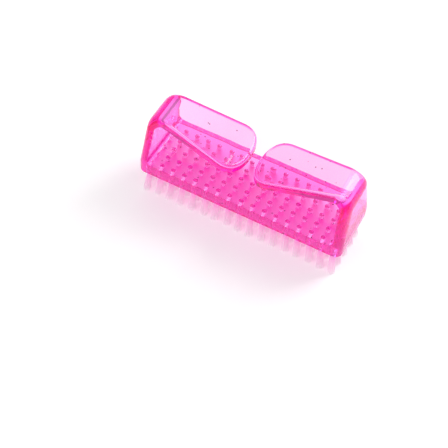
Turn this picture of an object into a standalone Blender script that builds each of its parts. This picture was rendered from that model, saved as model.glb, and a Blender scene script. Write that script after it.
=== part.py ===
"""Hand-held nail brush: one clear moulding with 85 stapled bristle tufts.

Metres, +Z up.  The brush stands on its bristle tips, length along X and width
along Y, with the origin under the middle of the bristles.
"""
import math

import bmesh
import bpy
from mathutils import Vector

MM = 0.001

# Base block that carries the bristles
LENGTH = 90.0 * MM
WIDTH = 27.6 * MM
BLOCK_THICKNESS = 5.9 * MM
BLOCK_CORNER_RADIUS = 3.2 * MM
BLOCK_EDGE_RADIUS = 0.7 * MM

# Bristles
COLUMNS = 17
ROWS = 5
COLUMN_PITCH = 5.13 * MM
ROW_PITCH = 4.95 * MM
FREE_LENGTH = 13.3 * MM
HOLE_RADIUS = 1.0 * MM
HOLE_DEPTH = 3.4 * MM
ROOT_RADIUS = 0.62 * MM
ROOT_DEPTH = 2.9 * MM
TIP_RADIUS_ALONG = 2.2 * MM
TIP_RADIUS_ACROSS = 2.75 * MM
TUFT_WAIST_FALL = 0.55
TUFT_WAIST_WIDTH = 0.7
SPLAY_ALONG = 0.02
SPLAY_ACROSS = 0.065
SPLAY_BOW = 1.5

# Grip wings: an end wall that turns over into a flap above the block
GRIP_HEIGHT = 28.3 * MM
WALL_THICKNESS = 3.7 * MM
WALL_INSET = 0.1 * MM
WALL_EMBED = 1.5 * MM
WALL_LEAN = math.radians(3.0)
WALL_BASE_HALF_WIDTH = WIDTH / 2 - WALL_INSET
WALL_NARROWING = 1.5
WALL_FOOT_RADIUS = 2.8 * MM
WALL_OUTER_EDGE = (2.8 * MM, 5.0 * MM)
WALL_EDGE_RISE = 0.35
NECK_HALF_WIDTH = 8.7 * MM
BEND_OUTER_RADIUS = 6.6 * MM
BEND_INNER_RADIUS = 3.6 * MM
FLAP_THICKNESS = 3.6 * MM
FLAP_DIP = math.radians(11.0)
FLAP_HALF_WIDTH = 13.2 * MM
FLAP_EDGE = (1.4 * MM, 1.4 * MM)
INNER_EDGE = (0.6 * MM, 0.6 * MM)
FLAP_TIP_ROUNDING = 9.5 * MM
FLAP_TIP_SQUARENESS = 2.3
FLAP_TIP_END = math.radians(84)
FLAP_GAP = 4.0 * MM

# Heights worked out from the sizes above
BRISTLE_FACE = FREE_LENGTH
BLOCK_TOP = BRISTLE_FACE + BLOCK_THICKNESS
GRIP_TOP = BRISTLE_FACE + GRIP_HEIGHT

# How finely round shapes are faceted
BLOCK_CORNER_STEPS = 5
HOLE_SIDES = 10
TUFT_SIDES = 8
EDGE_STEPS = 3
WALL_STEPS = 3
BEND_STEPS = 7
FLAP_STEPS = 4
FLAP_TIP_STEPS = 5


def clear_scene():
    for existing in list(bpy.data.objects):
        bpy.data.objects.remove(existing, do_unlink=True)


def plain_material(name, colour, roughness, transmission=0.0):
    material = bpy.data.materials.new(name)
    material.use_nodes = True
    shader = material.node_tree.nodes["Principled BSDF"]
    shader.inputs["Base Color"].default_value = (*colour, 1.0)
    shader.inputs["Roughness"].default_value = roughness
    shader.inputs["Metallic"].default_value = 0.0
    shader.inputs["Transmission Weight"].default_value = transmission
    return material


def add_object(name, mesh, material=None):
    obj = bpy.data.objects.new(name, mesh)
    bpy.context.scene.collection.objects.link(obj)
    if material:
        mesh.materials.append(material)
    return obj


def add_cutter(name, mesh):
    """A helper solid for a Boolean, kept out of the finished model."""
    cutter = add_object(name, mesh)
    cutter.hide_render = True
    cutter.display_type = "WIRE"
    return cutter


def add_boolean(obj, cutter, operation):
    modifier = obj.modifiers.new(cutter.name, "BOOLEAN")
    modifier.object = cutter
    modifier.operation = operation
    modifier.solver = "EXACT"


def loft(bm, rings):
    """Join rings of equally many points into one closed solid with flat ends."""
    loops = [[bm.verts.new(point) for point in ring] for ring in rings]
    count = len(rings[0])
    for lower, upper in zip(loops, loops[1:]):
        for i in range(count):
            j = (i + 1) % count
            bm.faces.new((lower[i], lower[j], upper[j], upper[i]))
    bm.faces.new(reversed(loops[0]))
    bm.faces.new(loops[-1])


def finish_mesh(name, bm, smooth_angle=math.radians(35)):
    bmesh.ops.recalc_face_normals(bm, faces=bm.faces)
    mesh = bpy.data.meshes.new(name)
    bm.to_mesh(mesh)
    bm.free()
    mesh.shade_smooth()
    mesh.set_sharp_from_angle(angle=smooth_angle)
    return mesh


def blend(start, end, share):
    return start + (end - start) * share


# ---------------------------------------------------------------- base block

def rounded_rectangle(half_x, half_y, radius, steps):
    """Corner points of a rounded rectangle, anticlockwise from above."""
    centres = (
        (half_x - radius, half_y - radius),
        (radius - half_x, half_y - radius),
        (radius - half_x, radius - half_y),
        (half_x - radius, radius - half_y),
    )
    points = []
    for quarter, (x, y) in enumerate(centres):
        for step in range(steps + 1):
            angle = math.radians(90) * (quarter + step / steps)
            points.append((x + radius * math.cos(angle), y + radius * math.sin(angle)))
    return points


def block_mesh():
    """The block as a stack of outlines, pulled in at its rounded rims."""
    rim = []
    for step in range(EDGE_STEPS):
        angle = math.radians(90) * step / (EDGE_STEPS - 1)
        rim.append((BLOCK_EDGE_RADIUS * (1 - math.sin(angle)), BLOCK_EDGE_RADIUS * (1 - math.cos(angle))))
    levels = [(BRISTLE_FACE + rise, inset) for inset, rise in rim]
    levels += [(BLOCK_TOP - rise, inset) for inset, rise in reversed(rim)]
    rings = []
    for height, inset in levels:
        outline = rounded_rectangle(
            LENGTH / 2 - inset, WIDTH / 2 - inset, BLOCK_CORNER_RADIUS - inset, BLOCK_CORNER_STEPS
        )
        rings.append([Vector((x, y, height)) for x, y in outline])
    bm = bmesh.new()
    loft(bm, rings)
    return finish_mesh("block", bm)


def tuft_positions():
    for column in range(COLUMNS):
        for row in range(ROWS):
            x = (column - (COLUMNS - 1) / 2) * COLUMN_PITCH
            y = (row - (ROWS - 1) / 2) * ROW_PITCH
            yield column, row, x, y


def hole_mesh():
    bm = bmesh.new()
    for _, _, x, y in tuft_positions():
        rings = []
        for height in (BRISTLE_FACE - HOLE_RADIUS, BRISTLE_FACE + HOLE_DEPTH):
            ring = []
            for side in range(HOLE_SIDES):
                angle = math.tau * side / HOLE_SIDES
                offset = Vector((math.cos(angle), math.sin(angle), 0.0)) * HOLE_RADIUS
                ring.append(Vector((x, y, height)) + offset)
            rings.append(ring)
        loft(bm, rings)
    return finish_mesh("tuft_holes", bm)


# ---------------------------------------------------------------- grip wings

def bend_centres():
    """Centres of the outer and inner arcs of the bend, in the XZ plane."""
    wall_out = Vector((math.cos(WALL_LEAN), math.sin(WALL_LEAN)))
    flap_up = Vector((-math.sin(FLAP_DIP), math.cos(FLAP_DIP)))
    outer_z = GRIP_TOP - BEND_OUTER_RADIUS
    wall_rise = outer_z - BLOCK_TOP
    foot_x = LENGTH / 2 - WALL_INSET
    outer_x = foot_x - wall_rise * math.tan(WALL_LEAN) - BEND_OUTER_RADIUS / math.cos(WALL_LEAN)
    outer = Vector((outer_x, outer_z))
    # The inner arc keeps the wall's thickness on one side and the flap's on the other.
    along_wall = BEND_OUTER_RADIUS - WALL_THICKNESS - BEND_INNER_RADIUS
    along_flap = BEND_OUTER_RADIUS - FLAP_THICKNESS - BEND_INNER_RADIUS
    determinant = wall_out.x * flap_up.y - wall_out.y * flap_up.x
    shift_x = (along_wall * flap_up.y - along_flap * wall_out.y) / determinant
    shift_z = (along_flap * wall_out.x - along_wall * flap_up.x) / determinant
    return outer, outer + Vector((shift_x, shift_z))


def wall_share(height):
    """How far up the grip a height is, from 0 at the block to 1 at the top."""
    return min(1.0, max(0.0, (height - BLOCK_TOP) / (GRIP_TOP - BLOCK_TOP)))


def wall_half_width(height):
    return blend(WALL_BASE_HALF_WIDTH, NECK_HALF_WIDTH, wall_share(height) ** WALL_NARROWING)


def wing_stations():
    """Cross-sections of a wing from foot to tip.

    Each one is (outer point, inner point, half width, outer edge), with the
    points in the XZ plane.  An outer edge is an elliptical round: its reach
    through the thickness, then its reach across the width.
    """
    outer_centre, inner_centre = bend_centres()
    wall_out = Vector((math.cos(WALL_LEAN), math.sin(WALL_LEAN)))
    wall_up = Vector((-math.sin(WALL_LEAN), math.cos(WALL_LEAN)))
    outer_start = outer_centre + wall_out * BEND_OUTER_RADIUS
    stations = []

    # Wall, with a rounded foot on its inner side that runs out onto the block
    foot = (BLOCK_TOP - outer_start.y) / wall_up.y
    heights = [foot - WALL_EMBED]
    for step in range(EDGE_STEPS + 1):
        heights.append(foot + WALL_FOOT_RADIUS * (1 - math.cos(math.radians(90) * step / EDGE_STEPS)))
    heights += [blend(heights[-1], 0.0, step / WALL_STEPS) for step in range(1, WALL_STEPS)]
    for height in heights:
        rise = min(WALL_FOOT_RADIUS, max(0.0, height - foot))
        drop = WALL_FOOT_RADIUS - rise
        flare = WALL_FOOT_RADIUS - math.sqrt(WALL_FOOT_RADIUS**2 - drop**2)
        outer = outer_start + wall_up * height
        inner = outer - wall_out * (WALL_THICKNESS + flare)
        outer.x = min(outer.x, LENGTH / 2 - WALL_INSET)
        share = min(1.0, wall_share(outer.y) / WALL_EDGE_RISE)
        edge = [blend(BLOCK_CORNER_RADIUS - WALL_INSET, full, share) for full in WALL_OUTER_EDGE]
        stations.append((outer, inner, wall_half_width(outer.y), edge))

    # Bend
    bend_end = math.radians(90) + FLAP_DIP
    for step in range(BEND_STEPS + 1):
        share = step / BEND_STEPS
        angle = blend(WALL_LEAN, bend_end, share)
        ray = Vector((math.cos(angle), math.sin(angle)))
        outer = outer_centre + ray * BEND_OUTER_RADIUS
        inner = inner_centre + ray * BEND_INNER_RADIUS
        edge = [blend(wall, flap, share) for wall, flap in zip(WALL_OUTER_EDGE, FLAP_EDGE)]
        stations.append((outer, inner, wall_half_width(outer.y), edge))

    # Flap, widening towards a rounded free end
    outer, inner = stations[-1][:2]
    inward = Vector((-math.cos(FLAP_DIP), -math.sin(FLAP_DIP)))
    reach = (outer.x - FLAP_GAP / 2) / math.cos(FLAP_DIP)
    inner_reach = (inner.x - FLAP_GAP / 2) / math.cos(FLAP_DIP)
    straight = reach - FLAP_TIP_ROUNDING
    distances = [straight * (step + 1) / FLAP_STEPS for step in range(FLAP_STEPS)]
    for step in range(FLAP_TIP_STEPS):
        angle = FLAP_TIP_END * (step + 1) / FLAP_TIP_STEPS
        distances.append(straight + FLAP_TIP_ROUNDING * math.sin(angle))
    for distance in distances:
        past = max(0.0, distance - straight) / FLAP_TIP_ROUNDING
        rounding = (1 - past**FLAP_TIP_SQUARENESS) ** (1 / FLAP_TIP_SQUARENESS)
        half_width = blend(NECK_HALF_WIDTH, FLAP_HALF_WIDTH, distance / reach) * rounding
        inner_distance = inner_reach * distance / reach
        stations.append((outer + inward * distance, inner + inward * inner_distance, half_width, FLAP_EDGE))
    return stations


def section_ring(outer, inner, half_width, outer_edge, side):
    """One rounded cross-section between the outer and the inner point."""
    depth = (outer - inner).length
    across = (outer - inner) / depth
    corners = (
        (depth - outer_edge[0], half_width - outer_edge[1], outer_edge),
        (INNER_EDGE[0], half_width - INNER_EDGE[1], INNER_EDGE),
        (INNER_EDGE[0], INNER_EDGE[1] - half_width, INNER_EDGE),
        (depth - outer_edge[0], outer_edge[1] - half_width, outer_edge),
    )
    ring = []
    for quarter, (level, y, (reach_through, reach_across)) in enumerate(corners):
        for step in range(EDGE_STEPS + 1):
            angle = math.radians(90) * (quarter + step / EDGE_STEPS)
            point = inner + across * (level + reach_through * math.cos(angle))
            ring.append(Vector((side * point.x, y + reach_across * math.sin(angle), point.y)))
    return ring


def wing_mesh(name, side):
    bm = bmesh.new()
    loft(bm, [section_ring(*station, side) for station in wing_stations()])
    return finish_mesh(name, bm)


# -------------------------------------------------------------------- tufts

def tuft_rings(x, y):
    """A tuft from its root in the hole, widening and leaning out to its tip."""
    lean = Vector((x * SPLAY_ALONG, y * SPLAY_ACROSS, 0.0))
    rings = []
    for fall, along, across in (
        (-ROOT_DEPTH, ROOT_RADIUS, ROOT_RADIUS),
        (0.0, ROOT_RADIUS, ROOT_RADIUS),
        (
            TUFT_WAIST_FALL * FREE_LENGTH,
            TUFT_WAIST_WIDTH * TIP_RADIUS_ALONG,
            TUFT_WAIST_WIDTH * TIP_RADIUS_ACROSS,
        ),
        (FREE_LENGTH, TIP_RADIUS_ALONG, TIP_RADIUS_ACROSS),
    ):
        drift = lean * max(0.0, fall / FREE_LENGTH) ** SPLAY_BOW
        centre = Vector((x, y, BRISTLE_FACE - fall)) + drift
        ring = []
        for side in range(TUFT_SIDES):
            angle = math.tau * side / TUFT_SIDES
            offset = Vector((along * math.cos(angle), across * math.sin(angle), 0.0))
            ring.append(centre + offset)
        rings.append(ring)
    return rings


def tufts_mesh(name, column, rows):
    bm = bmesh.new()
    for tuft_column, row, x, y in tuft_positions():
        if tuft_column == column and row in rows:
            loft(bm, tuft_rings(x, y))
    return finish_mesh(name, bm)


# ----------------------------------------------------------------- assembly

def build_body(material):
    """Block, both wings and the blind holes, moulded as one piece."""
    body = add_object("body", block_mesh(), material)
    for name, side in (("wing_left", -1), ("wing_right", 1)):
        add_boolean(body, add_cutter(name, wing_mesh(name, side)), "UNION")
    add_boolean(body, add_cutter("tuft_holes", hole_mesh()), "DIFFERENCE")


def build_tuft_columns(material):
    """One node for each line of tufts across the brush, joined at the tips."""
    for column in range(COLUMNS):
        name = f"tuft_column_{column + 1:02d}"
        tufts = add_object(name, tufts_mesh(name, column, range(0, ROWS, 2)), material)
        between = f"between_{column + 1:02d}"
        cutter = add_cutter(between, tufts_mesh(between, column, range(1, ROWS, 2)))
        add_boolean(tufts, cutter, "UNION")


clear_scene()
build_body(plain_material("clear_pink_acrylic", (1.0, 0.10, 0.55), 0.08, transmission=0.9))
build_tuft_columns(plain_material("nylon_bristle", (1.0, 0.82, 0.90), 0.45))
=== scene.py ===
"""Looks of a clear pink nail brush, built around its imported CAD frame.

Metres, +Z up, in the frame's own axes: length along X, width along Y, standing
on the bristle tips at Z = 0.
"""
import math
import random

import bmesh
import bpy
from mathutils import Matrix, Vector


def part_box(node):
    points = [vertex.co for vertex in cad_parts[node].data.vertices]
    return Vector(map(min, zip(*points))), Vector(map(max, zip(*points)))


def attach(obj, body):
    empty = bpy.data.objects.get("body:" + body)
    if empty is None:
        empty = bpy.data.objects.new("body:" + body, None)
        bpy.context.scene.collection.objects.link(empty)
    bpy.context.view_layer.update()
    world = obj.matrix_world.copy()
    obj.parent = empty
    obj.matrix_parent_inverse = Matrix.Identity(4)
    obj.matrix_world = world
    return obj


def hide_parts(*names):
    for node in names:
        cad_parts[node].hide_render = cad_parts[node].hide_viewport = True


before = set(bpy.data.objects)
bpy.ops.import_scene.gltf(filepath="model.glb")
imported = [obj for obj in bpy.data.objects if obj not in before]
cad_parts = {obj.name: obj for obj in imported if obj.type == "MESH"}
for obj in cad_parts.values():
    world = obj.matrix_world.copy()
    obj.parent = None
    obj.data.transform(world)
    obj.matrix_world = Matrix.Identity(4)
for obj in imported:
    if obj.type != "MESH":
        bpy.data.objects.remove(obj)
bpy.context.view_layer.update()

MM = 0.001
QUARTER_TURN = math.radians(90)

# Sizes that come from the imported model
BODY_LOW, BODY_HIGH = (Vector(corner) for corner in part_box("body"))
LENGTH = BODY_HIGH.x - BODY_LOW.x
WIDTH = BODY_HIGH.y - BODY_LOW.y
BRISTLE_FACE = BODY_LOW.z
GRIP_TOP = BODY_HIGH.z
TUFT_NODES = sorted(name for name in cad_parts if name.startswith("tuft_column"))

# Base block
BLOCK_THICKNESS = 5.9 * MM
BLOCK_TOP = BRISTLE_FACE + BLOCK_THICKNESS
BLOCK_CORNER_RADIUS = 3.2 * MM
BLOCK_EDGE_RADIUS = 0.7 * MM

# Grip wings: an end wall that turns over into a flap above the block.
# Edge roundings are given as their reach through the thickness and across the width,
# and the wall's rounding holds into the bend before it fades to the flap's.
WALL_THICKNESS = 3.7 * MM
WALL_INSET = 0.1 * MM
WALL_EMBED = 1.5 * MM
WALL_LEAN = math.radians(3.0)
WALL_OUT = Vector((math.cos(WALL_LEAN), math.sin(WALL_LEAN)))
WALL_UP = Vector((-math.sin(WALL_LEAN), math.cos(WALL_LEAN)))
WALL_BASE_HALF_WIDTH = WIDTH / 2 - WALL_INSET
WALL_NARROWING = 1.5
WALL_FOOT_RADIUS = 2.8 * MM
WALL_OUTER_EDGE = (2.8 * MM, 5.0 * MM)
WALL_EDGE_RISE = 0.35
NECK_HALF_WIDTH = 8.7 * MM
BEND_OUTER_RADIUS = 6.6 * MM
BEND_INNER_RADIUS = 3.6 * MM
FLAP_THICKNESS = 3.6 * MM
FLAP_DIP = math.radians(11.0)
FLAP_HALF_WIDTH = 13.2 * MM
FLAP_EDGE = (1.5 * MM, 1.8 * MM)
INNER_EDGE = (0.65 * MM, 0.65 * MM)
BEND_EDGE_DELAY = 2.0
FLAP_TIP_ROUNDING = 9.5 * MM
FLAP_TIP_SQUARENESS = 2.3
FLAP_TIP_END = math.radians(89.5)
FLAP_GAP = 4.0 * MM
OUTLINE_STEP = 0.01
SIDEWAYS = (0.0, 1.0)

# Tufts and the flat wires that hold them in their holes.
# Leg and crown shares are where a filament has points below and over its wire.
ROWS = 5
COLUMN_PITCH = 5.13 * MM
ROW_PITCH = 4.95 * MM
HOLE_RADIUS = 1.0 * MM
HOLE_DEPTH = 3.4 * MM
HOLE_DOME = 0.55 * MM
HOLE_DOME_END = math.radians(82)
FILAMENT_RADIUS = 0.12 * MM
FILAMENT_SPACING = 0.272 * MM
FILAMENT_CLEARANCE = 1.2
BUNDLE_RADIUS = 0.87 * MM
TIP_SPREAD = (1.55 * MM, 1.75 * MM)
TIP_TRIM = 0.45 * MM
TIP_LIFT = 0.03 * MM
TUFT_LEAN = (0.034, 0.095)
TUFT_STRAY = 0.28 * MM
FILAMENT_STRAY = 0.16 * MM
FLARE_EXPONENT = 1.25
LEG_SHARES = (0.22, 0.46, 0.72, 1.0)
CROWN_SHARES = (0.25, 0.5, 0.75)
CROWN_RISE = 0.62
ANCHOR_ANGLE = math.radians(28.0)
ANCHOR_SIZE = (1.84 * MM, 0.26 * MM, 1.25 * MM)
ANCHOR_EDGE = 0.07 * MM
ANCHOR_STATIONS = ((-1.0, 0.8), (-0.94, 1.0), (0.94, 1.0), (1.0, 0.8))
ANCHOR_TOP = BRISTLE_FACE + 2.6 * MM

# How finely round shapes are faceted
BLOCK_CORNER_STEPS = 12
BLOCK_EDGE_STEPS = 6
HOLE_SIDES = 20
HOLE_DOME_STEPS = 5
SECTION_EDGE_STEPS = 9
FOOT_STEPS = 10
WALL_STEPS = 6
BEND_STEPS = 22
FLAP_STEPS = 8
FLAP_TIP_STEPS = 30
FILAMENT_SIDES = 5

# Smooth shading: edges sharper than these stay crisp, and flat faces stay flat
SMOOTH_ANGLE = math.radians(32)
CUT_END_ANGLE = math.radians(75)
FLAT_FACE_WEIGHT = 60

# Tiny dark specks in the plastic: how far apart, their size as a share of that,
# and the share of each speck that is darkest
SPECK_SPACING = 4.0 * MM
SPECK_SHARE = 0.085
SPECK_CORE = 0.85

# Materials: the dye's density is how strongly it absorbs in each metre of plastic
NO_TINT = (1.0, 1.0, 1.0)
ACRYLIC_IOR = 1.49
DYE_COLOUR = (0.99, 0.03, 0.79, 1.0)
DYE_DENSITY = 122.0
# Painted glow: a faint pink light that the plastic gives off everywhere, though it is no lamp
PAINTED_GLOW_COLOUR = (1.0, 0.0, 0.62, 1.0)
PAINTED_GLOW = 0.04
POLISHED_ROUGHNESS = (0.015, 0.05)
SATIN_ROUGHNESS = 0.5
SATIN_HALF_WIDTH = ROW_PITCH * (ROWS - 1) / 2 + 1.3 * HOLE_RADIUS
NYLON_IOR = 1.53
# Painted glow of the filaments, weaker at the tip and stronger at the root
NYLON_PAINTED_GLOW = (0.08, 0.20)
NYLON_ROUGHNESS = (0.25, 0.42)
WIRE_ROUGHNESS = (0.25, 0.45)

# Studio: softboxes as name, place, size and watts, all aimed at one point
WHITE = (*NO_TINT, 1.0)
FLOOR_HALF_SIZE = 3.0
FLOOR_ROUGHNESS = 0.7
FLOOR_GLOW = 0.19
SKY_STRENGTH = 0.52
LIGHT_TARGET = (0.0, 0.0, 0.02)
SOFTBOXES = (
    ("softbox_above", (-0.15, 0.25, 0.80), (0.9, 0.7), 1.0),
    ("softbox_front", (-0.18, -0.62, 0.46), (0.8, 0.24), 1.6),
    ("softbox_back", (0.32, 0.46, 0.56), (0.34, 0.5), 2.8),
)

# Camera: lens and sensor in millimetres, then where it stands and looks
CAMERA_LENS = 94.94
CAMERA_SENSOR = 36.0
CAMERA_CLIP = (0.01, 20.0)
CAMERA_AZIMUTH = math.radians(24.13)
CAMERA_ELEVATION = math.radians(52.61)
CAMERA_ROLL = math.radians(4.84)
CAMERA_DISTANCE = 482.4 * MM
CAMERA_AIM = Vector((-6.2, -10.55, -1.12)) * MM

# Bounces that light needs to find its way out of the clear plastic, and off the rest
CLEAR_BOUNCES = 40
OTHER_BOUNCES = 12

# The colour sockets of Blender's Mix node
MIX_COLOUR_A, MIX_COLOUR_B, MIX_COLOUR_RESULT = 6, 7, 2

SEED = 11


# ------------------------------------------------------------------ helpers

def blend(start, end, share):
    return start + (end - start) * share


def shares(steps):
    return [step / steps for step in range(steps + 1)]


def add_object(name, mesh, material=None):
    obj = bpy.data.objects.new(name, mesh)
    bpy.context.scene.collection.objects.link(obj)
    if material:
        mesh.materials.append(material)
    return obj


def loft(bm, rings):
    """Join rings of equally many points into one closed solid."""
    loops = [[bm.verts.new(point) for point in ring] for ring in rings]
    count = len(rings[0])
    for lower, upper in zip(loops, loops[1:]):
        for i in range(count):
            j = (i + 1) % count
            bm.faces.new((lower[i], lower[j], upper[j], upper[i]))
    bm.faces.new(reversed(loops[0]))
    bm.faces.new(loops[-1])


def finish_mesh(name, bm):
    bmesh.ops.recalc_face_normals(bm, faces=bm.faces)
    mesh = bpy.data.meshes.new(name)
    bm.to_mesh(mesh)
    bm.free()
    return mesh


def apply_modifiers(obj):
    graph = bpy.context.evaluated_depsgraph_get()
    mesh = bpy.data.meshes.new_from_object(obj.evaluated_get(graph), depsgraph=graph)
    obj.modifiers.clear()
    obj.data = mesh


# --------------------------------------------------------------- clear body

def rounded_rectangle(half_x, half_y, radius):
    centres = (
        (half_x - radius, half_y - radius),
        (radius - half_x, half_y - radius),
        (radius - half_x, radius - half_y),
        (half_x - radius, radius - half_y),
    )
    points = []
    for quarter, (x, y) in enumerate(centres):
        for share in shares(BLOCK_CORNER_STEPS):
            angle = QUARTER_TURN * (quarter + share)
            points.append((x + radius * math.cos(angle), y + radius * math.sin(angle)))
    return points


def block_mesh():
    rim = []
    for share in shares(BLOCK_EDGE_STEPS):
        angle = QUARTER_TURN * share
        inset = BLOCK_EDGE_RADIUS * (1 - math.sin(angle))
        rise = BLOCK_EDGE_RADIUS * (1 - math.cos(angle))
        rim.append((inset, rise))
    levels = [(BRISTLE_FACE + rise, inset) for inset, rise in rim]
    levels += [(BLOCK_TOP - rise, inset) for inset, rise in reversed(rim)]
    rings = []
    for height, inset in levels:
        radius = BLOCK_CORNER_RADIUS - inset
        outline = rounded_rectangle(LENGTH / 2 - inset, WIDTH / 2 - inset, radius)
        rings.append([Vector((x, y, height)) for x, y in outline])
    bm = bmesh.new()
    loft(bm, rings)
    return finish_mesh("block", bm)


def tuft_centre(column, row):
    x = (column - (len(TUFT_NODES) - 1) / 2) * COLUMN_PITCH
    y = (row - (ROWS - 1) / 2) * ROW_PITCH
    return x, y


def circle(x, y, height, radius):
    ring = []
    for share in shares(HOLE_SIDES)[:-1]:
        turn = math.tau * share
        ring.append(Vector((x + radius * math.cos(turn), y + radius * math.sin(turn), height)))
    return ring


def hole_mesh():
    """Blind round holes with domed ends."""
    spring = BRISTLE_FACE + HOLE_DEPTH - HOLE_DOME
    levels = [(BRISTLE_FACE - HOLE_RADIUS, HOLE_RADIUS)]
    for share in shares(HOLE_DOME_STEPS):
        angle = HOLE_DOME_END * share
        levels.append((spring + HOLE_DOME * math.sin(angle), HOLE_RADIUS * math.cos(angle)))
    bm = bmesh.new()
    for column in range(len(TUFT_NODES)):
        for row in range(ROWS):
            x, y = tuft_centre(column, row)
            loft(bm, [circle(x, y, height, radius) for height, radius in levels])
    return finish_mesh("tuft_holes", bm)


def bend_centres():
    """Centres of the outer and inner arcs of the bend, in the XZ plane."""
    flap_up = Vector((-math.sin(FLAP_DIP), math.cos(FLAP_DIP)))
    outer_z = GRIP_TOP - BEND_OUTER_RADIUS
    wall_rise = outer_z - BLOCK_TOP
    foot_x = LENGTH / 2 - WALL_INSET
    outer_x = foot_x - wall_rise * math.tan(WALL_LEAN) - BEND_OUTER_RADIUS / math.cos(WALL_LEAN)
    outer = Vector((outer_x, outer_z))
    along_wall = BEND_OUTER_RADIUS - WALL_THICKNESS - BEND_INNER_RADIUS
    along_flap = BEND_OUTER_RADIUS - FLAP_THICKNESS - BEND_INNER_RADIUS
    determinant = WALL_OUT.x * flap_up.y - WALL_OUT.y * flap_up.x
    shift_x = (along_wall * flap_up.y - along_flap * WALL_OUT.y) / determinant
    shift_z = (along_flap * WALL_OUT.x - along_wall * flap_up.x) / determinant
    return outer, outer + Vector((shift_x, shift_z))


def wall_half_width(height):
    share = max(0.0, (height - BLOCK_TOP) / (GRIP_TOP - BLOCK_TOP))
    return blend(WALL_BASE_HALF_WIDTH, NECK_HALF_WIDTH, min(1.0, share) ** WALL_NARROWING)


def wall_stations(outer_start):
    """The upright wall, with a rounded foot that runs out onto the block."""
    foot = (BLOCK_TOP - outer_start.y) / WALL_UP.y
    heights = [foot - WALL_EMBED]
    for share in shares(FOOT_STEPS):
        heights.append(foot + WALL_FOOT_RADIUS * (1 - math.cos(QUARTER_TURN * share)))
    heights += [blend(heights[-1], 0.0, share) for share in shares(WALL_STEPS)[1:-1]]
    stations = []
    for height in heights:
        drop = WALL_FOOT_RADIUS - min(WALL_FOOT_RADIUS, max(0.0, height - foot))
        flare = WALL_FOOT_RADIUS - math.sqrt(WALL_FOOT_RADIUS**2 - drop**2)
        outer = outer_start + WALL_UP * height
        inner = outer - WALL_OUT * (WALL_THICKNESS + flare)
        outer.x = min(outer.x, LENGTH / 2 - WALL_INSET)
        rise = max(0.0, outer.y - BLOCK_TOP) / (GRIP_TOP - BLOCK_TOP)
        share = min(1.0, rise / WALL_EDGE_RISE)
        edge = [blend(BLOCK_CORNER_RADIUS - WALL_INSET, full, share) for full in WALL_OUTER_EDGE]
        stations.append((outer, inner, wall_half_width(outer.y), edge, SIDEWAYS))
    return stations


def bend_stations(outer_centre, inner_centre):
    stations = []
    for share in shares(BEND_STEPS):
        angle = blend(WALL_LEAN, QUARTER_TURN + FLAP_DIP, share)
        ray = Vector((math.cos(angle), math.sin(angle)))
        outer = outer_centre + ray * BEND_OUTER_RADIUS
        inner = inner_centre + ray * BEND_INNER_RADIUS
        late = share**BEND_EDGE_DELAY
        edge = [blend(wall, flap, late) for wall, flap in zip(WALL_OUTER_EDGE, FLAP_EDGE)]
        stations.append((outer, inner, wall_half_width(outer.y), edge, SIDEWAYS))
    return stations


def flap_stations(outer_start, inner_start):
    """The flap, widening towards a free end whose rim is rounded all the way."""
    inward = Vector((-math.cos(FLAP_DIP), -math.sin(FLAP_DIP)))
    reach = (outer_start.x - FLAP_GAP / 2) / math.cos(FLAP_DIP)
    inner_reach = (inner_start.x - FLAP_GAP / 2) / math.cos(FLAP_DIP)
    straight = reach - FLAP_TIP_ROUNDING

    def outline(turn):
        """Distance and half width: turn runs -1..0 along the sides, then round the tip."""
        if turn <= 0:
            distance = straight * (1 + turn)
            return Vector((distance, blend(NECK_HALF_WIDTH, FLAP_HALF_WIDTH, distance / reach)))
        power = 2 / FLAP_TIP_SQUARENESS
        distance = straight + FLAP_TIP_ROUNDING * math.sin(turn * FLAP_TIP_END) ** power
        full = blend(NECK_HALF_WIDTH, FLAP_HALF_WIDTH, distance / reach)
        return Vector((distance, full * math.cos(turn * FLAP_TIP_END) ** power))

    turns = [share - 1 for share in shares(FLAP_STEPS)[1:-1]] + shares(FLAP_TIP_STEPS)
    stations = []
    for turn in turns:
        distance, half_width = outline(turn)
        along = outline(min(1.0, turn + OUTLINE_STEP)) - outline(turn - OUTLINE_STEP)
        normal = Vector((-along.y, along.x)).normalized()
        outer = outer_start + inward * distance
        inner = inner_start + inward * (inner_reach * distance / reach)
        stations.append((outer, inner, half_width, FLAP_EDGE, (normal.x, normal.y)))
    return stations


def section_ring(outer, inner, half_width, outer_edge, normal, side):
    """One rounded cross-section, its edges drawn in along the outline's normal."""
    depth = (outer - inner).length
    across = (outer - inner) / depth
    onward = Vector((-across.y, across.x))
    corners = (
        (depth - outer_edge[0], 1, outer_edge),
        (INNER_EDGE[0], 1, INNER_EDGE),
        (INNER_EDGE[0], -1, INNER_EDGE),
        (depth - outer_edge[0], -1, outer_edge),
    )
    ring = []
    for quarter, (level, hand, (reach_through, reach_across)) in enumerate(corners):
        for share in shares(SECTION_EDGE_STEPS):
            angle = QUARTER_TURN * (quarter + share)
            inset = reach_across * (1 - abs(math.sin(angle)))
            point = inner + across * (level + reach_through * math.cos(angle))
            point -= onward * (normal[0] * inset)
            y = hand * (half_width - normal[1] * inset)
            ring.append(Vector((side * point.x, y, point.y)))
    return ring


def wing_mesh(name, side):
    outer_centre, inner_centre = bend_centres()
    stations = wall_stations(outer_centre + WALL_OUT * BEND_OUTER_RADIUS)
    stations += bend_stations(outer_centre, inner_centre)
    stations += flap_stations(*stations[-1][:2])
    bm = bmesh.new()
    loft(bm, [section_ring(*station, side) for station in stations])
    return finish_mesh(name, bm)


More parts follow.
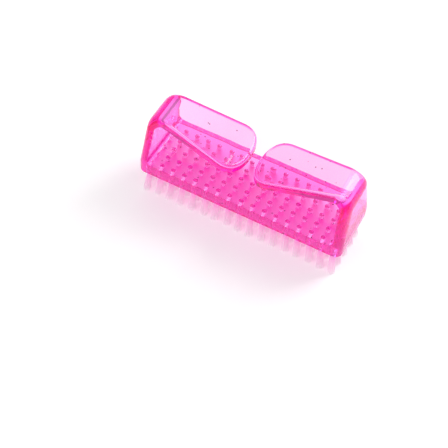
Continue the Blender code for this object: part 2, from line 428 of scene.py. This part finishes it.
def mark_rim_shade(mesh):
    """Note on each point how far the surface has turned away from the flat of its wing, for the
    painted shade on the rims.
    """
    centre = bend_centres()[0]
    rim_shade = mesh.attributes.new("rim", "FLOAT", "POINT")
    for vertex, rim in zip(mesh.vertices, rim_shade.data):
        spoke = Vector((abs(vertex.co.x), vertex.co.z)) - centre
        angle = math.atan2(max(0.0, spoke.y), spoke.x)
        angle = min(max(angle, WALL_LEAN), QUARTER_TURN + FLAP_DIP)
        side = math.copysign(1.0, vertex.co.x)
        across = Vector((side * math.cos(angle), 0.0, math.sin(angle)))
        turned = math.sqrt(max(0.0, 1 - vertex.normal.dot(across) ** 2))
        rise = (vertex.co.z - BLOCK_TOP) / WALL_FOOT_RADIUS
        rim.value = turned * min(1.0, max(0.0, rise))


def build_body(material):
    """Block, both wings and the blind tuft holes as one moulding."""
    body = add_object("clear_body", block_mesh(), material)
    cutters = (
        ("UNION", wing_mesh("wing_left", -1)),
        ("UNION", wing_mesh("wing_right", 1)),
        ("DIFFERENCE", hole_mesh()),
    )
    helpers = []
    for operation, mesh in cutters:
        helper = add_object(mesh.name, mesh)
        modifier = body.modifiers.new(mesh.name, "BOOLEAN")
        modifier.object = helper
        modifier.operation = operation
        modifier.solver = "EXACT"
        helpers.append(helper)
    apply_modifiers(body)
    for helper in helpers:
        bpy.data.objects.remove(helper, do_unlink=True)
    body.data.shade_smooth()
    body.data.set_sharp_from_angle(angle=SMOOTH_ANGLE)
    # The rim attribute drives the painted shade on the rims
    mark_rim_shade(body.data)
    normals = body.modifiers.new("flat_faces_stay_flat", "WEIGHTED_NORMAL")
    normals.keep_sharp = True
    normals.weight = FLAT_FACE_WEIGHT
    apply_modifiers(body)
    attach(body, "root")
    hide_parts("body")


# -------------------------------------------------------------------- tufts

def bundle_spots():
    """Where filaments stand on one side of the anchor, in the hole's own axes."""
    spots = []
    row_gap = FILAMENT_SPACING * math.sqrt(3) / 2
    first = ANCHOR_SIZE[1] / 2 + FILAMENT_RADIUS * FILAMENT_CLEARANCE
    reach = int(BUNDLE_RADIUS / FILAMENT_SPACING) + 1
    for line in range(int(BUNDLE_RADIUS / row_gap) + 1):
        v = first + line * row_gap
        for step in range(-reach, reach + 1):
            u = (step + 0.5 * (line % 2)) * FILAMENT_SPACING
            if math.hypot(u, v) <= BUNDLE_RADIUS:
                spots.append((u, v))
    return spots


def scatter(chance, distance):
    """A small level step in a random direction."""
    return Vector((chance.uniform(-1, 1), chance.uniform(-1, 1), 0.0)) * distance


def anchor_axes():
    """The directions along an anchor wire and square to it."""
    along = Vector((math.cos(ANCHOR_ANGLE), math.sin(ANCHOR_ANGLE), 0.0))
    return along, Vector((-along.y, along.x, 0.0))


def leg_points(root, tip, chance):
    """One filament leg from the anchor down to its tip."""
    mouth = Vector((root.x, root.y, BRISTLE_FACE))
    bow = scatter(chance, FILAMENT_STRAY)
    points = [root, mouth]
    for share in LEG_SHARES:
        point = blend(mouth, tip, share)
        flare = share**FLARE_EXPONENT
        point.x = blend(mouth.x, tip.x, flare)
        point.y = blend(mouth.y, tip.y, flare)
        points.append(point + bow * math.sin(math.pi * share))
    return points


def filament_path(x, y, spot, lean, chance):
    """Tip to tip: up one side of the anchor wire, over it and down the other."""
    along, beside = anchor_axes()
    anchor = Vector((x, y, ANCHOR_TOP))
    u, v = spot
    legs = []
    for hand in (1, -1):
        offset = along * u + beside * (v * hand)
        flared = Vector((offset.x * TIP_SPREAD[0], offset.y * TIP_SPREAD[1], 0.0)) / BUNDLE_RADIUS
        tip = Vector((x, y, 0.0)) + flared + lean + scatter(chance, FILAMENT_STRAY)
        tip.z = TIP_LIFT + TIP_TRIM * chance.random() ** 2
        legs.append(leg_points(anchor + offset, tip, chance))
    crown = []
    for share in CROWN_SHARES:
        angle = math.pi * share
        rise = Vector((0.0, 0.0, (v * CROWN_RISE + FILAMENT_RADIUS) * math.sin(angle)))
        crown.append(anchor + along * u + beside * (v * math.cos(angle)) + rise)
    return legs[0][::-1] + crown + legs[1], along


def add_tube(verts, faces, path, reference):
    """A thin round rod along a path, closed flat at both cut ends."""
    first = len(verts)
    last = len(path) - 1
    for i, point in enumerate(path):
        tangent = (path[min(last, i + 1)] - path[max(0, i - 1)]).normalized()
        side = (reference - tangent * reference.dot(tangent)).normalized()
        up = tangent.cross(side)
        for share in shares(FILAMENT_SIDES)[:-1]:
            angle = math.tau * share
            spoke = side * math.cos(angle) + up * math.sin(angle)
            verts.append(point + spoke * FILAMENT_RADIUS)
    for i in range(last):
        for k in range(FILAMENT_SIDES):
            j = (k + 1) % FILAMENT_SIDES
            low = first + i * FILAMENT_SIDES
            high = low + FILAMENT_SIDES
            faces.append((low + k, low + j, high + j, high + k))
    faces.append(tuple(range(first + FILAMENT_SIDES - 1, first - 1, -1)))
    end = first + last * FILAMENT_SIDES
    faces.append(tuple(range(end, end + FILAMENT_SIDES)))


def build_tufts(material):
    """One piece for each line of tufts across the brush."""
    chance = random.Random(SEED)
    spots = bundle_spots()
    for column, node in enumerate(TUFT_NODES):
        verts = []
        faces = []
        for row in range(ROWS):
            x, y = tuft_centre(column, row)
            lean = Vector((x * TUFT_LEAN[0], y * TUFT_LEAN[1], 0.0))
            lean += scatter(chance, TUFT_STRAY)
            for spot in spots:
                path, reference = filament_path(x, y, spot, lean, chance)
                add_tube(verts, faces, path, reference)
        mesh = bpy.data.meshes.new(node)
        mesh.from_pydata(verts, [], faces)
        mesh.shade_smooth()
        mesh.set_sharp_from_angle(angle=CUT_END_ANGLE)
        tufts = add_object(f"bristles_{column + 1:02d}", mesh, material)
        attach(tufts, "root")
        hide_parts(node)


def anchor_rings(x, y):
    """A cut length of flat wire on edge, with its long edges bevelled."""
    length, thickness, height = ANCHOR_SIZE
    along, beside = anchor_axes()
    side = thickness / 2
    inner_side = side - ANCHOR_EDGE
    section = (
        (side, ANCHOR_EDGE),
        (side, height - ANCHOR_EDGE),
        (inner_side, height),
        (-inner_side, height),
        (-side, height - ANCHOR_EDGE),
        (-side, ANCHOR_EDGE),
        (-inner_side, 0.0),
        (inner_side, 0.0),
    )
    rings = []
    for station, scale in ANCHOR_STATIONS:
        ring = []
        for across, level in section:
            rise = blend(height / 2, level, scale)
            place = along * (length / 2 * station) + beside * (across * scale)
            ring.append(Vector((x, y, ANCHOR_TOP - height + rise)) + place)
        rings.append(ring)
    return rings


def build_anchors(material):
    """One piece for each line of anchor wires across the brush."""
    for column in range(len(TUFT_NODES)):
        bm = bmesh.new()
        for row in range(ROWS):
            loft(bm, anchor_rings(*tuft_centre(column, row)))
        mesh = finish_mesh(f"anchor_wires_{column + 1:02d}", bm)
        anchors = add_object(mesh.name, mesh, material)
        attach(anchors, "root")


# ---------------------------------------------------------------- materials

def new_material(name):
    material = bpy.data.materials.new(name)
    material.use_nodes = True
    tree = material.node_tree
    return material, tree, tree.nodes["Principled BSDF"]


def add_node(tree, kind, **settings):
    node = tree.nodes.new(kind)
    for key, value in settings.items():
        if key in node.inputs:
            node.inputs[key].default_value = value
        else:
            setattr(node, key, value)
    return node


def place_on_piece(tree):
    """The point being shaded, in the piece's own metres."""
    return add_node(tree, "ShaderNodeTexCoord").outputs["Object"]


def place_parts(tree):
    """X, Y and Z of the point being shaded."""
    parts = add_node(tree, "ShaderNodeSeparateXYZ")
    tree.links.new(place_on_piece(tree), parts.inputs["Vector"])
    return parts.outputs


def stretched_noise(tree, scale, detail=3.0):
    """Noise with its own scale along each axis, in cycles per metre."""
    mapping = add_node(tree, "ShaderNodeMapping", Scale=scale)
    noise = add_node(tree, "ShaderNodeTexNoise", Scale=1.0, Detail=detail, Roughness=0.5)
    tree.links.new(place_on_piece(tree), mapping.inputs["Vector"])
    tree.links.new(mapping.outputs["Vector"], noise.inputs["Vector"])
    return noise.outputs["Fac"]


def ramp(tree, source, *stops):
    """A colour for each position, blended in between."""
    node = add_node(tree, "ShaderNodeValToRGB")
    elements = node.color_ramp.elements
    while len(elements) < len(stops):
        elements.new(0.5)
    for element, (position, colour) in zip(elements, stops):
        element.position = position
        element.color = (*colour, 1.0)
    tree.links.new(source, node.inputs["Fac"])
    return node.outputs["Color"]


def value_range(tree, source, low=0.0, high=1.0, start=0.0, end=1.0):
    """Low where the source is at start, high where it is at end."""
    node = add_node(tree, "ShaderNodeMapRange")
    for name, value in (("From Min", start), ("From Max", end), ("To Min", low), ("To Max", high)):
        node.inputs[name].default_value = value
    tree.links.new(source, node.inputs["Value"])
    return node.outputs["Result"]


def math_result(tree, operation, *sources):
    """A Math node fed by sockets and plain numbers."""
    node = add_node(tree, "ShaderNodeMath", operation=operation)
    for socket, source in zip(node.inputs, sources):
        if isinstance(source, float):
            socket.default_value = source
        else:
            tree.links.new(source, socket)
    return node.outputs["Value"]


def multiplied(tree, *colours):
    """All the colours multiplied together."""
    product = colours[0]
    for colour in colours[1:]:
        node = add_node(tree, "ShaderNodeMix", data_type="RGBA", blend_type="MULTIPLY", Factor=1.0)
        tree.links.new(product, node.inputs[MIX_COLOUR_A])
        tree.links.new(colour, node.inputs[MIX_COLOUR_B])
        product = node.outputs[MIX_COLOUR_RESULT]
    return product


def bump(tree, shader, height, strength, distance):
    node = add_node(tree, "ShaderNodeBump", Strength=strength, Distance=distance)
    tree.links.new(height, node.inputs["Height"])
    tree.links.new(node.outputs["Normal"], shader.inputs["Normal"])


def plastic_colour(tree, flow):
    """Deeper pink in the block and the walls, painted shade on the rims, a faint cloud and dark
    specks.
    """
    parts = place_parts(tree)
    flap_start = GRIP_TOP - 2 * FLAP_THICKNESS
    height = value_range(tree, parts["Z"], start=BLOCK_TOP, end=flap_start)
    block = ramp(tree, height, (0.0, (1.0, 0.82, 1.0)), (1.0, (1.0, 0.985, 0.98)))
    cloud = ramp(tree, flow, (0.3, (1.0, 0.965, 0.99)), (0.7, NO_TINT))
    endways = math_result(tree, "ABSOLUTE", parts["X"])
    wall_start = LENGTH / 2 - 2 * WALL_THICKNESS
    wall_middle = LENGTH / 2 - WALL_THICKNESS / 2
    ends = value_range(tree, endways, start=wall_start, end=wall_middle)
    walls = ramp(tree, ends, (0.0, NO_TINT), (1.0, (0.98, 0.56, 0.94)))
    cells = add_node(tree, "ShaderNodeTexVoronoi", Scale=1 / SPECK_SPACING)
    tree.links.new(place_on_piece(tree), cells.inputs["Vector"])
    specks = ramp(
        tree,
        cells.outputs["Distance"],
        (0.0, (0.01, 0.01, 0.01)),
        (SPECK_CORE * SPECK_SHARE, (0.08, 0.08, 0.08)),
        (SPECK_SHARE, NO_TINT),
    )
    # Painted shade: rounded rims are tinted darker and a deeper pink
    rim = add_node(tree, "ShaderNodeAttribute", attribute_name="rim").outputs["Fac"]
    rim_shade = ramp(tree, rim, (0.12, NO_TINT), (0.5, (0.89, 0.20, 0.72)))
    return multiplied(tree, block, cloud, walls, specks, rim_shade)


def plastic_roughness(tree):
    """Polished all over, but satin between the tufts on the bristle face."""
    haze = stretched_noise(tree, (300.0, 300.0, 300.0), detail=4.0)
    polished = value_range(tree, haze, *POLISHED_ROUGHNESS)
    parts = place_parts(tree)
    satin_end = BRISTLE_FACE + BLOCK_EDGE_RADIUS / 2
    satin = value_range(tree, parts["Z"], SATIN_ROUGHNESS, 0.0, start=BRISTLE_FACE, end=satin_end)
    sideways = math_result(tree, "ABSOLUTE", parts["Y"])
    among_tufts = math_result(tree, "LESS_THAN", sideways, SATIN_HALF_WIDTH)
    matt = math_result(tree, "MULTIPLY", satin, among_tufts)
    return math_result(tree, "MAXIMUM", polished, matt)


def clear_plastic():
    """Clear moulded acrylic: the pink deepens with the thickness looked through."""
    material, tree, shader = new_material("clear_pink_acrylic")
    shader.inputs["Transmission Weight"].default_value = 1.0
    shader.inputs["IOR"].default_value = ACRYLIC_IOR
    # Painted glow: the plastic gives off a faint pink light of its own
    shader.inputs["Emission Color"].default_value = PAINTED_GLOW_COLOUR
    shader.inputs["Emission Strength"].default_value = PAINTED_GLOW
    flow = stretched_noise(tree, (70.0, 110.0, 90.0), detail=2.0)
    tree.links.new(plastic_colour(tree, flow), shader.inputs["Base Color"])
    tree.links.new(plastic_roughness(tree), shader.inputs["Roughness"])
    bump(tree, shader, flow, strength=0.12, distance=0.4 * MM)
    absorption = add_node(tree, "ShaderNodeVolumeAbsorption", Color=DYE_COLOUR, Density=DYE_DENSITY)
    tree.links.new(absorption.outputs["Volume"], tree.nodes["Material Output"].inputs["Volume"])
    return material


def nylon():
    """Translucent nylon monofilament, with painted pink light and a painted glow that grow towards
    its root in the dyed plastic.
    """
    material, tree, shader = new_material("nylon_filament")
    shader.inputs["IOR"].default_value = NYLON_IOR
    height = value_range(tree, place_parts(tree)["Z"], end=ANCHOR_TOP)
    # Painted pink light: pinkish white at the tip, turning deep pink towards the root as if lit
    # through the pink block
    along = ramp(
        tree,
        height,
        (0.0, (0.99, 0.88, 0.94)),
        (0.4, (0.99, 0.66, 0.86)),
        (0.78, (0.99, 0.25, 0.74)),
        (1.0, (0.90, 0.10, 0.50)),
    )
    strand = stretched_noise(tree, (2600.0, 2600.0, 60.0), detail=1.0)
    shade = ramp(tree, strand, (0.3, (0.94, 0.90, 0.94)), (0.7, NO_TINT))
    colour = multiplied(tree, along, shade)
    tree.links.new(colour, shader.inputs["Base Color"])
    # Painted glow: the filaments give off light in their colour, more towards the root
    tree.links.new(colour, shader.inputs["Emission Color"])
    tree.links.new(value_range(tree, height, *NYLON_PAINTED_GLOW), shader.inputs["Emission Strength"])
    tree.links.new(value_range(tree, strand, *NYLON_ROUGHNESS), shader.inputs["Roughness"])
    return material


def wire():
    """Drawn steel wire with fine lengthwise drawing marks."""
    material, tree, shader = new_material("drawn_wire")
    shader.inputs["Metallic"].default_value = 1.0
    marks = stretched_noise(tree, (900.0, 900.0, 9000.0), detail=2.0)
    colour = ramp(tree, marks, (0.3, (0.26, 0.24, 0.23)), (0.7, (0.46, 0.43, 0.41)))
    tree.links.new(colour, shader.inputs["Base Color"])
    tree.links.new(value_range(tree, marks, *WIRE_ROUGHNESS), shader.inputs["Roughness"])
    bump(tree, shader, marks, strength=0.2, distance=0.02 * MM)
    return material


def pale_floor():
    material, tree, shader = new_material("pale_floor")
    grain = stretched_noise(tree, (40.0, 40.0, 40.0))
    colour = ramp(tree, grain, (0.3, (0.90, 0.90, 0.90)), (0.7, (0.93, 0.93, 0.93)))
    tree.links.new(colour, shader.inputs["Base Color"])
    shader.inputs["Roughness"].default_value = FLOOR_ROUGHNESS
    shader.inputs["Emission Color"].default_value = WHITE
    shader.inputs["Emission Strength"].default_value = FLOOR_GLOW
    return material


# -------------------------------------------------------------------- studio

def build_floor():
    bm = bmesh.new()
    bmesh.ops.create_grid(bm, x_segments=4, y_segments=4, size=FLOOR_HALF_SIZE)
    floor = add_object("studio_floor", finish_mesh("studio_floor", bm), pale_floor())


def add_softbox(name, location, size, watts):
    light = bpy.data.lights.new(name, "AREA")
    light.shape = "RECTANGLE"
    light.size, light.size_y = size
    light.energy = watts
    obj = bpy.data.objects.new(name, light)
    obj.location = location
    direction = Vector(LIGHT_TARGET) - Vector(location)
    obj.rotation_euler = direction.to_track_quat("-Z", "Y").to_euler()
    bpy.context.scene.collection.objects.link(obj)


def build_lights():
    world = bpy.data.worlds.new("studio")
    world.use_nodes = True
    background = world.node_tree.nodes["Background"]
    background.inputs["Color"].default_value = WHITE
    background.inputs["Strength"].default_value = SKY_STRENGTH
    bpy.context.scene.world = world
    for softbox in SOFTBOXES:
        add_softbox(*softbox)


def build_camera():
    """A long lens from the front right, well above the brush, held slightly tilted."""
    camera = bpy.data.cameras.new("camera")
    camera.lens = CAMERA_LENS
    camera.sensor_width = CAMERA_SENSOR
    camera.clip_start, camera.clip_end = CAMERA_CLIP
    outwards = Vector((
        math.sin(CAMERA_AZIMUTH) * math.cos(CAMERA_ELEVATION),
        -math.cos(CAMERA_AZIMUTH) * math.cos(CAMERA_ELEVATION),
        math.sin(CAMERA_ELEVATION),
    ))
    facing = (-outwards).to_track_quat("-Z", "Y").to_matrix().to_4x4()
    place = Matrix.Translation(CAMERA_AIM + outwards * CAMERA_DISTANCE)
    obj = bpy.data.objects.new("camera", camera)
    obj.matrix_world = place @ facing @ Matrix.Rotation(CAMERA_ROLL, 4, "Z")
    bpy.context.scene.collection.objects.link(obj)
    bpy.context.scene.camera = obj


def set_light_paths():
    scene = bpy.context.scene
    scene.view_settings.view_transform = "Standard"
    scene.cycles.max_bounces = CLEAR_BOUNCES
    scene.cycles.transmission_bounces = CLEAR_BOUNCES
    scene.cycles.diffuse_bounces = OTHER_BOUNCES
    scene.cycles.glossy_bounces = OTHER_BOUNCES


build_camera()
set_light_paths()
build_floor()
build_lights()
build_body(clear_plastic())
build_tufts(nylon())
build_anchors(wire())
